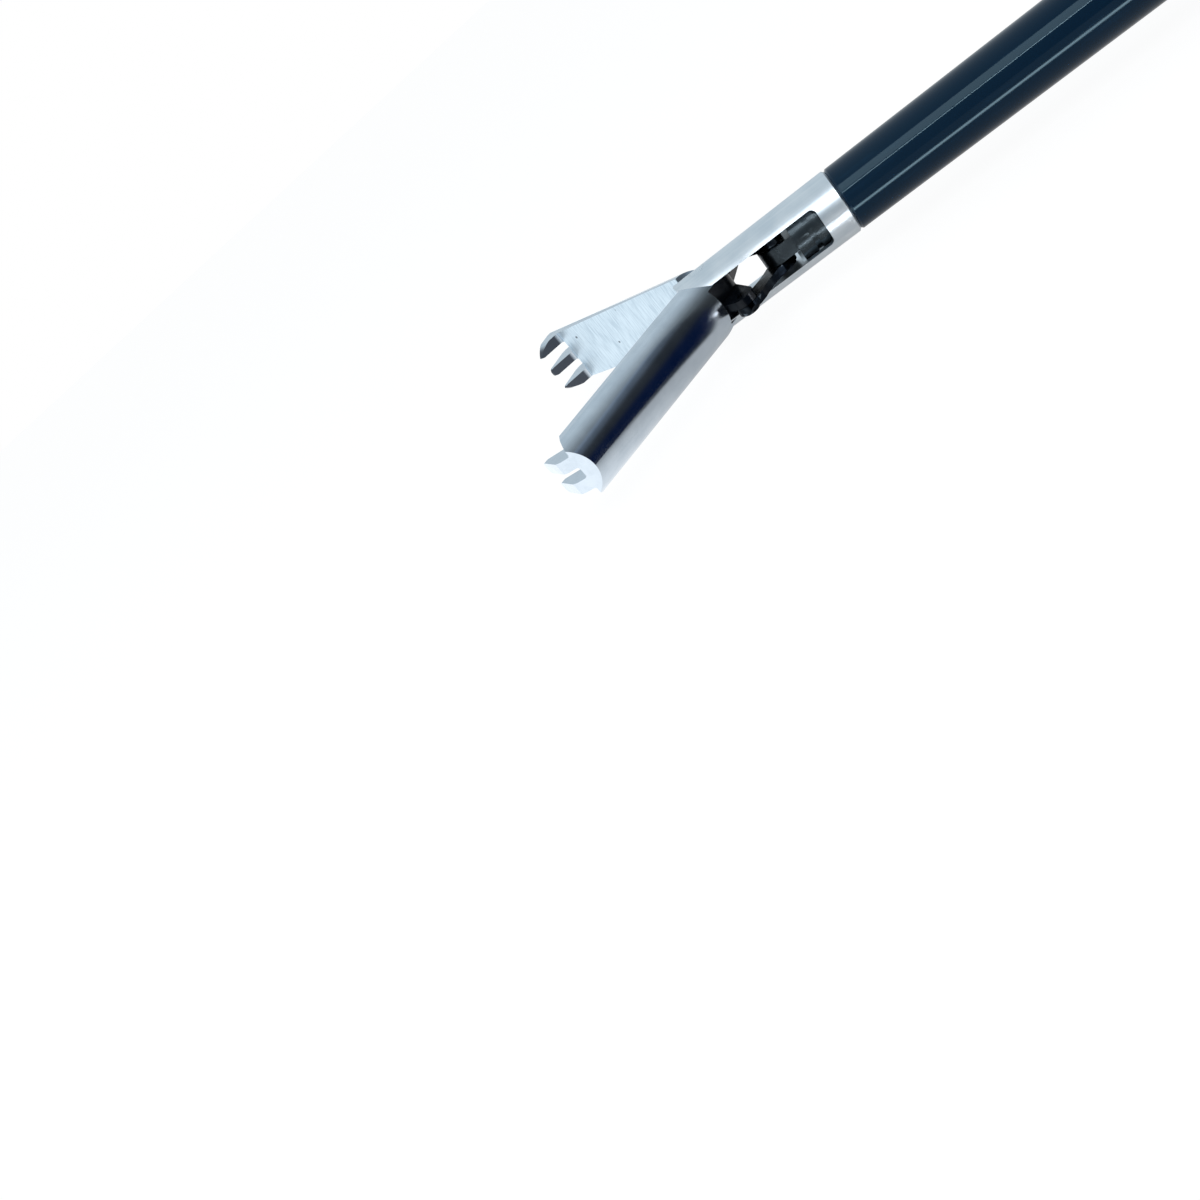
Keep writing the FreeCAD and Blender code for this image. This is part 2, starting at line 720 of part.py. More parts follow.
def cut_handle_rooms(body):
    """Rooms for the lever, its hinge, the latch plate, the spring and the pin."""
    sweep = math.sin(half_stroke)
    reach = (hinge_drop + lever_top) * sweep + lever_top_half + cavity_gap
    ceiling = math.hypot(hinge_drop + lever_top, lever_top_half) - hinge_drop + cavity_gap
    room = box(hinge_x - reach, hinge_x + reach, hinge_y - yoke_r - 1, ceiling, -slot_half, slot_half)
    body = body.cut(room)
    body = body.cut(box(hinge_x - yoke_r - 1, hinge_x, hinge_y - yoke_r - 1, hinge_y, -slot_half, slot_half))
    body = body.cut(rod_x(rod_r + rod_room, hinge_x, barrel_front))
    body = body.cut(rod_z(lever_hub_r + cavity_gap, hinge_x, hinge_y, -slot_half, slot_half))
    body = body.cut(rod_z(screw_r + fit_gap, hinge_x, hinge_y, -handle_half, handle_half))
    seat = handle_half - screw_head - head_recess
    body = body.cut(rod_z(screw_head_r + seat_gap, hinge_x, hinge_y, seat, handle_half + 1))
    body = body.cut(nut_blank(nut_r + seat_gap, -handle_half - 1, -handle_half + nut_height + head_recess))
    half = plate_thickness / 2 + plate_gap
    wide = plate_half + plate_gap
    deep = plate_bottom + button_travel + plate_gap
    floor = plate_top - button_travel - plate_gap
    body = body.cut(box(plate_x - half, plate_x + half, -deep, plate_top + plate_gap, -wide, wide))
    body = body.cut(rod_y(button_r + plate_gap, plate_x, floor, barrel_r + 1))
    body = body.cut(rod_y(spring_r + spring_wire_r + spring_pocket_gap, plate_x,
                          -plate_bottom - spring_length, -plate_bottom))
    body = body.cut(rod_y(hf_stem_r + fit_gap, hf_x, 0, hf_boss_y + 1))
    return body


def nut_blank(radius, z0, z1):
    corners = []
    for i in range(6):
        angle = math.radians(60 * i)
        corners.append((hinge_x + radius * math.cos(angle), hinge_y + radius * math.sin(angle)))
    return prism(corners, z0, z1)


def thumb_lever():
    """Lever with a ball socket above its hinge and a thumb ring below it."""
    hub = rod_z(lever_hub_r, hinge_x, hinge_y, -lever_half, lever_half)
    head = box(hinge_x - lever_top_half, hinge_x + lever_top_half, hinge_y, lever_top, -lever_half, lever_half)
    uprights = [e for e in head.Edges if e.BoundBox.ZLength > lever_half and e.BoundBox.YMin > 0]
    head = head.makeFillet(lever_top_edge_r, uprights)
    socket = rod_y(ball_r + ball_gap, hinge_x, -ball_drop, lever_top)
    slit = box(hinge_x, hinge_x + lever_top_half, -slit_drop, lever_top, -slit_half, slit_half)
    head = head.fuse(hub).cut(socket).cut(slit)
    head.rotate(V(hinge_x, hinge_y, 0), V(0, 0, 1), -lever_stroke_deg / 2)
    upper = tapered_bar((hinge_x, hinge_y), lever_hub_r - lever_thinning, (knee_x, knee_y), knee_r,
                        -lever_half, lever_half)
    ring_top = ring_y + ring_inner_long + ring_wall / 2
    lower = tapered_bar((knee_x, knee_y), knee_r, (ring_x + lever_foot_shift, ring_top), ring_root_r,
                        -lever_half, lever_half)
    bars = softened(upper.fuse(lower), lever_edge_r)
    inside = oval(ring_x, ring_y, ring_inner_long, ring_inner_short, ring_wall / 2, 0, ring_half)
    ring = rounded_ring(ring_x, ring_y, ring_inner_long, ring_inner_short, ring_wall, 0, ring_half, ring_edge_r)
    body = head.fuse(bars.cut(inside)).fuse(ring)
    return body.cut(rod_z(bush_r + fit_gap, hinge_x, hinge_y, -lever_half, lever_half))


def lever_bush():
    bush = rod_z(bush_r, hinge_x, hinge_y, -lever_half, lever_half)
    return bush.cut(rod_z(screw_r + bush_gap, hinge_x, hinge_y, -lever_half, lever_half))


def lever_screw():
    top = handle_half - head_recess
    body = rod_z(screw_r, hinge_x, hinge_y, -handle_half + head_recess, top - screw_head)
    head = rod_z(screw_head_r, hinge_x, hinge_y, top - screw_head, top)
    rim = [e for e in head.Edges if e.BoundBox.ZMin > top - fit_gap]
    head = head.makeFillet(screw_edge_r, rim)
    slot = box(hinge_x - screw_head_r, hinge_x + screw_head_r, hinge_y - screw_slot / 2,
               hinge_y + screw_slot / 2, top - screw_slot, top)
    return body.fuse(head.cut(slot))


def lever_nut():
    low = -handle_half + head_recess
    nut = nut_blank(nut_r, low, low + nut_height)
    return nut.cut(rod_z(screw_r + fit_gap, hinge_x, hinge_y, -handle_half, handle_half))


def hinge_washers():
    rings = []
    gap = (slot_half - lever_half - washer) / 2
    for low in (lever_half + gap, -lever_half - gap - washer):
        ring = rod_z(washer_r, hinge_x, hinge_y, low, low + washer)
        rings.append(ring.cut(rod_z(screw_r + run_gap, hinge_x, hinge_y, low, low + washer)))
    return Part.makeCompound(rings)


def release_button():
    """Latch plate with an off-centre hole, and the button on top of it."""
    half = plate_thickness / 2
    plate = box(plate_x - half, plate_x + half, -plate_bottom, plate_top, -plate_half, plate_half)
    hole = rod_x(sleeve_r + plate_hole_gap, plate_x - half, plate_x + half)
    hole.translate(V(0, groove_depth, 0))
    top = plate_top + button_height
    button = rod_y(button_r, plate_x, plate_top, top)
    rim = [e for e in button.Edges if e.BoundBox.YMin > top - fit_gap]
    return plate.cut(hole).fuse(button.makeFillet(button_edge_r, rim))


def button_spring():
    pitch = (spring_length - 2 * spring_wire_r - 2 * fit_gap) / spring_turns
    helix = Part.makeHelix(pitch, pitch * spring_turns, spring_r)
    section = Part.Wire([Part.Circle(V(spring_r, 0, 0), V(0, 1, 0), spring_wire_r).toShape()])
    coil = Part.Wire(helix.Edges).makePipeShell([section], True, False)
    coil.rotate(V(0, 0, 0), V(1, 0, 0), -90)
    coil.translate(V(plate_x, -plate_bottom - spring_length + spring_wire_r + fit_gap, 0))
    return coil


def hf_pin():
    """Plug pin for a monopolar lead, with a collar on the boss and a stem in it."""
    top = hf_boss_y + hf_collar + hf_length
    return turned_y([
        (hf_boss_y - hf_stem, 0), (top, 0), (top, hf_r - hf_tip_edge), (top - hf_tip_edge, hf_r),
        (hf_boss_y + hf_collar, hf_r), (hf_boss_y + hf_collar, hf_collar_r), (hf_boss_y, hf_collar_r),
        (hf_boss_y, hf_stem_r), (hf_boss_y - hf_stem, hf_stem_r),
    ], hf_x)


pieces = {
    "jaw_two_tooth": two_tooth_jaw,
    "jaw_three_tooth": three_tooth_jaw,
    "jaw_pivot_pin": pivot_pin,
    "tip_housing": tip_housing,
    "rod_pin": rod_pin,
    "rod_end_block": rod_end_block,
    "push_rod": push_rod,
    "drive_ball": drive_ball,
    "shaft_tube": shaft_tube,
    "shaft_insulation": shaft_insulation,
    "rod_seal": rod_seal,
    "flush_hub": flush_hub,
    "flush_port": flush_port,
    "port_cap": port_cap,
    "rotation_knob": rotation_knob,
    "bearing_sleeve": bearing_sleeve,
    "sleeve_o_ring": sleeve_o_ring,
    "handle_body": handle_body,
    "thumb_lever": thumb_lever,
    "lever_bush": lever_bush,
    "lever_screw": lever_screw,
    "lever_nut": lever_nut,
    "hinge_washers": hinge_washers,
    "release_button": release_button,
    "button_spring": button_spring,
    "hf_pin": hf_pin,
}
for name, make in pieces.items():
    save(make(), name)
for name, side in (("two", -1), ("three", 1)):
    save(place_link(side), "link_%s" % name)
    save(tail_pin(side), "tail_pin_%s" % name)
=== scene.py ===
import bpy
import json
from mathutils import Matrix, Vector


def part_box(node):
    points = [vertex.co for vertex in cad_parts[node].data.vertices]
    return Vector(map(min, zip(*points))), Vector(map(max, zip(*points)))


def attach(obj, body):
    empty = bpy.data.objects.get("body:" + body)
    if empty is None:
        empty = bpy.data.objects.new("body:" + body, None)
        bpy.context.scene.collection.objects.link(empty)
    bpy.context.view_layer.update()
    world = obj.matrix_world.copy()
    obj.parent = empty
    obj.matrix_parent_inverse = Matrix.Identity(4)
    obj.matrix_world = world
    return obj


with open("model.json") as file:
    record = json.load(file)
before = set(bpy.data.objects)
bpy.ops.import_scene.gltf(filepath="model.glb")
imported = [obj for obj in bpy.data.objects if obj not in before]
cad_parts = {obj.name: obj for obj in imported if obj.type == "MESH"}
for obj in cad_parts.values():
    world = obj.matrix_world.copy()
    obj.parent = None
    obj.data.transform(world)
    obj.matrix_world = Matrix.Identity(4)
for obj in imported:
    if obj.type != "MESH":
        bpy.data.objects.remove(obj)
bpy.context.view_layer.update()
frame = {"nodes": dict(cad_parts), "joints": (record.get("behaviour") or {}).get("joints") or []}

import json
import math

import bmesh
import bpy
from bpy.props import FloatProperty, FloatVectorProperty, IntProperty, PointerProperty
from mathutils import Matrix, Vector

bl_info = {
    "name": "Claw Grasper Dressing",
    "version": (1, 0, 0),
    "blender": (4, 5, 0),
    "location": "View3D > Sidebar > Grasper",
    "description": "Gives the pieces of a ten millimetre claw grasper their finish and fine detail",
    "category": "Object",
}

MM = 0.001
NODES = frame["nodes"]
JOINTS = {joint["name"]: joint for joint in frame["joints"]}
TABLE_Z = min(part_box(name)[0].z for name in NODES)

# Places and sizes of the solids that the fine detail lines up with
PIVOT = Vector(JOINTS["jaw_two_hinge"]["pos_m"])
HINGE = Vector(JOINTS["lever_swing"]["pos_m"])
LEVER_KNEE = Vector((-0.100, -0.040, 0))
ARM_RIBS = (-0.0605, -0.0268)
ARM_LEAN = math.radians(-20)
KNEE_SHARE = 0.78
HANDLE_HALF = 8 * MM
ARM_HALF = 6 * MM
LEVER_HALF = 4 * MM
FLUTE_COUNT = 8
FLUTE_R = 3.4 * MM
FLUTE_REACH = 11.4 * MM

# The jaws: their opening at rest, where the teeth begin and the hub ends, and half of the hub's width
JAW_OPEN = math.radians(40)
TOOTH_X = 34.2 * MM
HUB_X = 3.3 * MM
HUB_HALF = 2.9 * MM

# Grain of the finishes, in noise cells per metre along X, Y and Z
HOUSING_GRAIN = (60, 2000, 2000)
ROD_GRAIN = (50, 1800, 1800)
SPRING_GRAIN = (900, 900, 900)
JAW_LONG_GRAIN = (70, 1500, 1500)
JAW_CROSS_GRAIN = (4200, 400, 260)
SCRATCHES = (150, 4200, 900)
SCRATCH_LEAN = 0.5
SCRATCH_SHARE = 0.35
OIL_RUBS = (260, 1100, 1100)
TUBE_WAVES = (60, 160, 160)
TUBE_RUBS = (90, 700, 700)
RINGS = 3600
BETWEEN_RINGS = 40

# Colours of scratches, of the painted line and of the light
SCRATCH_LIGHT = (0.86, 0.88, 0.9)
MARK_PAINT = (0.75, 0.76, 0.76)
COOL_WHITE = (0.86, 0.95, 1.0)
CARD_SLATE = (0.5, 0.62, 0.8)
CARD_NAVY = (0.0, 0.18, 1.0)
FLOOR_PALE = (0.8, 0.82, 0.84)
WHITE = (1, 1, 1)

# The stage, seen from above: where the camera turns, the card runs and the light fades
CAMERA_TURN = tuple(math.radians(angle) for angle in (57.172, 38.212, 177.312))
CARD_ALONG = Vector((0.36, 0.93, 0))
CARD_FOOT = Vector((-3.6 * MM, 20 * MM, 0))
CARD_ENDS = (-11 * MM, 60 * MM)
DARK_SIDE = (-0.93, 0.36, 0)
LAMP_DISTANCE = 0.6


class Value:
    """A number socket of a node tree that takes part in Python arithmetic."""

    def __init__(self, finish, socket):
        self.finish = finish
        self.socket = socket

    def _maths(self, operation, first, second=None):
        inputs = {0: first} if second is None else {0: first, 1: second}
        return self.finish.node("ShaderNodeMath", {"operation": operation}, inputs)[0]

    def __add__(self, other):
        return self._maths("ADD", self, other)

    __radd__ = __add__

    def __sub__(self, other):
        return self._maths("SUBTRACT", self, other)

    def __rsub__(self, other):
        return self._maths("SUBTRACT", other, self)

    def __mul__(self, other):
        return self._maths("MULTIPLY", self, other)

    __rmul__ = __mul__

    def over(self, edge):
        """1 where the value is over edge, else 0."""
        return self._maths("GREATER_THAN", self, edge)

    def largest(self, other):
        """The value or other, whichever is larger."""
        return self._maths("MAXIMUM", self, other)

    def size(self):
        """The value without its sign."""
        return self._maths("ABSOLUTE", self)

    def ramp(self, low, high, start=0.0, end=1.0):
        """start below low, end above high, and a smooth change between."""
        settings = {"interpolation_type": "SMOOTHSTEP"}
        inputs = {"Value": self, "From Min": low, "From Max": high, "To Min": start, "To Max": end}
        return self.finish.node("ShaderNodeMapRange", settings, inputs)["Result"]

    def blend(self, below, above):
        """Colour that goes from below to above as the value goes from 0 to 1."""
        inputs = {"Factor": self, "A": rgba(below), "B": rgba(above)}
        settings = {"data_type": "RGBA", "clamp_factor": True}
        return self.finish.node("ShaderNodeMix", settings, inputs)["Result"]


class Outputs:
    """The output sockets of one node, by name or number, as values."""

    def __init__(self, finish, node):
        self.finish = finish
        self.node = node

    def __getitem__(self, key):
        if isinstance(key, int):
            return Value(self.finish, self.node.outputs[key])
        live = [s for s in self.node.outputs if s.name == key and s.enabled]
        return Value(self.finish, live[0])


class Finish:
    """A material, or the node tree of the surround, and the short calls that build its nodes."""

    def __init__(self, name, tree=None):
        self.material = None
        if tree is None:
            self.material = bpy.data.materials.new(name)
            self.material.use_nodes = True
            tree = self.material.node_tree
        self.tree = tree
        self.shader = next((n for n in tree.nodes if n.type == "BSDF_PRINCIPLED"), None)

    def node(self, kind, settings=None, inputs=None):
        """Adds a node: its settings first, then the values or links of its sockets."""
        made = self.tree.nodes.new(kind)
        for key, value in (settings or {}).items():
            setattr(made, key, value)
        self.feed(made, inputs or {})
        return Outputs(self, made)

    def feed(self, node, inputs):
        """Links or sets a node's sockets, each by its name or number."""
        for key, value in inputs.items():
            if isinstance(key, int):
                socket = node.inputs[key]
            else:
                socket = [s for s in node.inputs if s.name == key and s.enabled][0]
            if isinstance(value, Value):
                self.tree.links.new(value.socket, socket)
            else:
                socket.default_value = value

    def set(self, **inputs):
        """Feeds the principled shader, with underscores for the spaces in its socket names."""
        self.feed(self.shader, {key.replace("_", " "): value for key, value in inputs.items()})

    def surface(self, shader):
        """Leads another shader's output to the material's surface."""
        out = next(n for n in self.tree.nodes if n.type == "OUTPUT_MATERIAL")
        self.tree.links.new(shader.node.outputs[0], out.inputs[0])

    def place(self):
        """Coordinates of the surface in the frame of its piece at rest, in metres."""
        return self.node("ShaderNodeTexCoord")["Object"]

    def facing(self):
        """Normal of the surface in the frame of its piece at rest."""
        return self.node("ShaderNodeTexCoord")["Normal"]

    def turned(self, vector, angle_z, origin=(0, 0, 0), scale=(1, 1, 1)):
        """vector moved to origin, turned by -angle_z about Z and scaled."""
        moved = self.node("ShaderNodeVectorMath", {"operation": "SUBTRACT"}, {0: vector, 1: origin})[0]
        settings = {"rotation_type": "AXIS_ANGLE"}
        inputs = {"Vector": moved, "Axis": (0, 0, 1), "Angle": -angle_z}
        spun = self.node("ShaderNodeVectorRotate", settings, inputs)[0]
        return self.node("ShaderNodeVectorMath", {"operation": "MULTIPLY"}, {0: spun, 1: scale})[0]

    def parts(self, vector):
        """The X, Y and Z of a vector."""
        split = self.node("ShaderNodeSeparateXYZ", inputs={0: vector})
        return split[0], split[1], split[2]

    def noise(self, vector, scale, detail, roughness=0.55):
        """Cloudy noise from 0 to 1."""
        inputs = {"Vector": vector, "Scale": scale, "Detail": detail, "Roughness": roughness}
        return self.node("ShaderNodeTexNoise", inputs=inputs)[0]

    def cells(self, vector, scale):
        """Distance to the nearest of scattered points."""
        return self.node("ShaderNodeTexVoronoi", inputs={"Vector": vector, "Scale": scale})["Distance"]

    def bump(self, height, distance, strength):
        """Normal of the surface, disturbed as the height says."""
        inputs = {"Height": height, "Distance": distance, "Strength": strength}
        return self.node("ShaderNodeBump", inputs=inputs)["Normal"]


def rgba(colour):
    """A colour with its alpha, or the value as it is."""
    if isinstance(colour, Value):
        return colour
    return (*colour, 1.0) if len(colour) == 3 else tuple(colour)


def dress(names, material):
    """Gives CAD nodes a material, and smooth shading between shallow facets."""
    for name in names:
        piece = NODES[name]
        piece.data.materials.clear()
        piece.data.materials.append(material)
        shade_smooth(piece.data)


def shade_smooth(mesh, angle_deg=32):
    """Smooth shading, with the edges sharper than the angle kept sharp."""
    mesh.polygons.foreach_set("use_smooth", [True] * len(mesh.polygons))
    mesh.set_sharp_from_angle(angle=math.radians(angle_deg))


def finished(name, mesh, material, body):
    """Object from a bmesh in the frame's own coordinates, riding on a body."""
    data = bpy.data.meshes.new(name)
    mesh.to_mesh(data)
    mesh.free()
    piece = bpy.data.objects.new(name, data)
    bpy.context.scene.collection.objects.link(piece)
    data.materials.append(material)
    shade_smooth(data)
    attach(piece, body)


def lathe(section, centre, axis, steps=72):
    """Closed ring turned about an axis through centre, from a loop of (along, radius) points."""
    mesh = bmesh.new()
    axis = Vector(axis)
    side = axis.orthogonal().normalized()
    rings = []
    for along, radius in section:
        spokes = [Matrix.Rotation(math.tau * step / steps, 3, axis) @ side for step in range(steps)]
        rings.append([mesh.verts.new(Vector(centre) + axis * along + spoke * radius) for spoke in spokes])
    for first, second in zip(rings, rings[1:] + rings[:1]):
        for step in range(steps):
            ahead = (step + 1) % steps
            mesh.faces.new((first[step], first[ahead], second[ahead], second[step]))
    bmesh.ops.recalc_face_normals(mesh, faces=mesh.faces)
    return mesh


def ribs(places, size, edge):
    """Rounded bars of one size, each at a matrix that places a bar lying along its own X."""
    mesh = bmesh.new()
    for place in places:
        bmesh.ops.create_cube(mesh, size=1.0, matrix=place @ Matrix.Diagonal((*size, 1.0)))
    bmesh.ops.bevel(mesh, geom=mesh.edges[:], offset=edge, segments=3, profile=0.5, affect="EDGES")
    return mesh


def brushed(name, colour, dark, roughness, lines):
    """Metal with fine lines, as close along each axis as lines says, faint stains and a few scratches."""
    finish = Finish(name)
    place = finish.place()
    grain = finish.noise(finish.turned(place, 0, scale=lines), 1.0, 4, 0.6)
    stain = finish.noise(place, 260, 3)
    broad = finish.noise(place, 60, 2)
    tone = (grain * 0.3 + stain * 0.4 + broad * 0.3).ramp(0.36, 0.64)
    scratches = finish.noise(finish.turned(place, SCRATCH_LEAN, scale=SCRATCHES), 1.0, 2, 0.5)
    mark = scratches.ramp(0.70, 0.78) * SCRATCH_SHARE
    finish.set(Base_Color=mark.blend(tone.blend(dark, colour), SCRATCH_LIGHT),
               Metallic=1.0,
               Roughness=grain * 0.12 + stain * 0.12 + roughness - 0.1 - mark * 0.05,
               Normal=finish.bump(grain + mark, 0.004 * MM, 0.4))
    return finish.material


def blackened(name, dark, worn, roughness):
    """Black oiled steel with smoky patches, rubbed places and an uneven shine."""
    finish = Finish(name)
    place = finish.place()
    smoke = finish.noise(place, 420, 3)
    swell = finish.noise(place, 700, 2)
    rub = finish.noise(finish.turned(place, 0, scale=OIL_RUBS), 1.0, 3).ramp(0.60, 0.72)
    finish.set(Base_Color=(smoke.ramp(0.5, 0.8) * 0.15 + rub * 0.8).blend(dark, worn),
               Metallic=1.0,
               Roughness=smoke * 0.16 + roughness - 0.05,
               Normal=finish.bump(swell, 0.05 * MM, 0.5))
    return finish.material


def glossy_tube(name, colour, light, tint):
    """Shrunk plastic tube: deep gloss, faint waviness, dust and rubbed places."""
    finish = Finish(name)
    place = finish.place()
    wave = finish.noise(finish.turned(place, 0, scale=TUBE_WAVES), 1.0, 2)
    dust = finish.noise(place, 2400, 2)
    rub = finish.noise(finish.turned(place, 0, scale=TUBE_RUBS), 1.0, 3).ramp(0.55, 0.8)
    finish.set(Base_Color=(rub * 0.35 + dust * 0.1).blend(colour, light),
               Roughness=rub * 0.06 + dust * 0.03 + 0.05,
               Normal=finish.bump(wave, 0.02 * MM, 0.4))
    finish.set(IOR=1.36, Specular_Tint=rgba(tint))
    return finish.material


def moulded(name, colour, light, roughness, seam=0.0, mark=None):
    """Moulded plastic with fine eroded grain and rubbed spots.

    seam is the height of the parting line at Z zero, and mark is (first X, last X, half width) of a painted
    line on the +Z side.
    """
    blur, relief = 0.06 * MM, 0.03 * MM
    seam_half, seam_foot = 0.05 * MM, 0.16 * MM
    finish = Finish(name)
    place = finish.place()
    x, y, z = finish.parts(place)
    grain = finish.cells(place, 2600)
    cloud = finish.noise(place, 45, 3)
    wear = finish.noise(place, 300, 4).ramp(0.58, 0.75)
    height = grain * 0.25
    base = (cloud * 0.5 + wear * 0.4).blend(colour, light)
    if seam:
        height = height + (1 - z.size().ramp(seam_half, seam_foot)) * (seam / relief)
    if mark:
        first, last, half = mark
        paint = x.over(first) * (1 - x.over(last)) * (1 - y.size().ramp(half, half + blur)) * z.over(0)
        base = paint.blend(base, MARK_PAINT)
    finish.set(Base_Color=base, Roughness=cloud * 0.12 - wear * 0.1 + roughness,
               Normal=finish.bump(height, relief, 0.6))
    return finish.material


def rubbery(name, colour, light):
    """Soft rubber with a dull bloom."""
    finish = Finish(name)
    place = finish.place()
    grain = finish.noise(place, 1800, 3)
    bloom = finish.noise(place, 120, 3)
    finish.set(Base_Color=bloom.ramp(0.4, 0.8).blend(colour, light),
               Roughness=0.55 + bloom * 0.2,
               Normal=finish.bump(grain, 0.02 * MM, 0.5))
    return finish.material


def jaw_steel(name, colours, angle, flat_sign):
    """Jaw finish: long grain on the round back, cross-ground flat with specks, painted shade on the teeth's
    inner faces and on the hub.

    angle is the jaw's turn from the shaft at rest, and flat_sign is the Y side that its flat faces.
    """
    finish = Finish(name)
    place = finish.place()
    pivot = tuple(PIVOT)
    x, _, z = finish.parts(finish.turned(place, angle, pivot))
    flatness = finish.parts(finish.turned(finish.facing(), angle))[1] * flat_sign
    inward = flatness.ramp(0.75, 0.9)
    # painted shade: the inner faces of the teeth are painted dark, and made less metallic and rougher
    tooth_shade_mask = flatness.ramp(0.35, 0.6) * x.ramp(TOOTH_X + 0.1 * MM, TOOTH_X + 0.5 * MM)
    long_grain = finish.noise(finish.turned(place, angle, pivot, JAW_LONG_GRAIN), 1.0, 4, 0.6)
    cross_grain = finish.noise(finish.turned(place, angle, pivot, JAW_CROSS_GRAIN), 1.0, 4, 0.65)
    stain = finish.noise(place, 320, 4)
    speck = finish.cells(finish.turned(place, angle, pivot, (330, 330, 330)), 1.0)
    pit = (1 - speck.ramp(0.06, 0.11)) * inward * finish.noise(place, 900, 1).ramp(0.45, 0.55)
    back = (long_grain * 0.3 + stain * 0.7).ramp(0.3, 0.7).blend(colours.polished_dark, colours.polished)
    flat = (cross_grain * 0.8 + stain * 0.2).ramp(0.36, 0.60).blend(colours.ground_dark, colours.ground)
    base = inward.blend(back, flat)
    base = tooth_shade_mask.blend(base, colours.painted_tooth_shade)
    # painted shade: the hub, held between the housing's cheeks, is painted near black and made less metallic
    painted_hub_shade = (1 - x.ramp(HUB_X, HUB_X + 0.3 * MM)) * (1 - z.size().ramp(HUB_HALF, HUB_HALF + 0.13 * MM))
    base = painted_hub_shade.blend(base, colours.black_steel)
    base = (pit * 0.85).blend(base, colours.soot)
    height = inward * cross_grain + (1 - inward) * long_grain * 0.2 - pit
    finish.set(Base_Color=base,
               Metallic=1.0 - tooth_shade_mask * 0.35 - painted_hub_shade * 0.4,
               Roughness=0.18 + inward * 0.15 + stain * 0.06 + tooth_shade_mask * 0.15,
               Normal=finish.bump(height, 0.006 * MM, 0.7))
    return finish.material


def colour(name, use, value):
    """Property for a colour."""
    return FloatVectorProperty(name=name, description=use, default=value, subtype="COLOR", size=3)


def length(name, use, value):
    """Property for a length, given in millimetres."""
    return FloatProperty(name=name, description=use, default=value * MM, unit="LENGTH", min=0)


class GrasperColours(bpy.types.PropertyGroup):
    """Colours of the finishes."""

    polished: colour("Polished steel", "Round backs of the jaws", (0.62, 0.70, 0.78))
    polished_dark: colour("Polished steel, dark", "Stains on the jaw backs", (0.54, 0.62, 0.70))
    ground: colour("Ground steel", "Flat faces of the jaws", (0.58, 0.70, 0.79))
    ground_dark: colour("Ground steel, dark", "Stains on the flat faces", (0.42, 0.53, 0.62))
    # painted shade: the colour that darkens the inner faces of the teeth
    painted_tooth_shade: colour("Tooth inside", "Dark inner faces of the teeth", (0.06, 0.07, 0.09))
    soot: colour("Specks", "Small dark specks on the flats", (0.05, 0.06, 0.08))
    satin: colour("Satin steel", "Tip housing and turned pieces", (0.74, 0.80, 0.85))
    satin_dark: colour("Satin steel, dark", "Stains on satin steel", (0.60, 0.68, 0.75))
    black_steel: colour("Blackened steel", "Links and rivets", (0.006, 0.009, 0.014))
    black_worn: colour("Blackened steel, worn", "Rubbed black steel", (0.20, 0.25, 0.30))
    rod_dark: colour("Rod end, dark", "Oiled places on the rod's end", (0.045, 0.058, 0.068))
    rod_steel: colour("Rod end", "Guide block of the rod", (0.24, 0.30, 0.34))
    tube: colour("Insulation", "Shrunk tube over the shaft", (0.0008, 0.011, 0.030))
    tube_light: colour("Insulation, rubbed", "Rubbed places on the tube", (0.004, 0.026, 0.062))
    tube_tint: colour("Insulation shine", "Tint of the tube's shine", (0.55, 0.85, 1.0))
    plastic: colour("Handle plastic", "Handle, lever and knob", (0.012, 0.013, 0.015))
    plastic_light: colour("Handle plastic, rubbed", "Rubbed plastic", (0.035, 0.037, 0.041))
    grey_plastic: colour("Button plastic", "Release button", (0.16, 0.18, 0.20))
    grey_light: colour("Button plastic, rubbed", "Rubbed button", (0.24, 0.26, 0.28))
    brass: colour("Plated brass", "Plug pin and bush", (0.85, 0.70, 0.42))
    brass_dark: colour("Plated brass, dark", "Stains on the brass", (0.70, 0.55, 0.30))


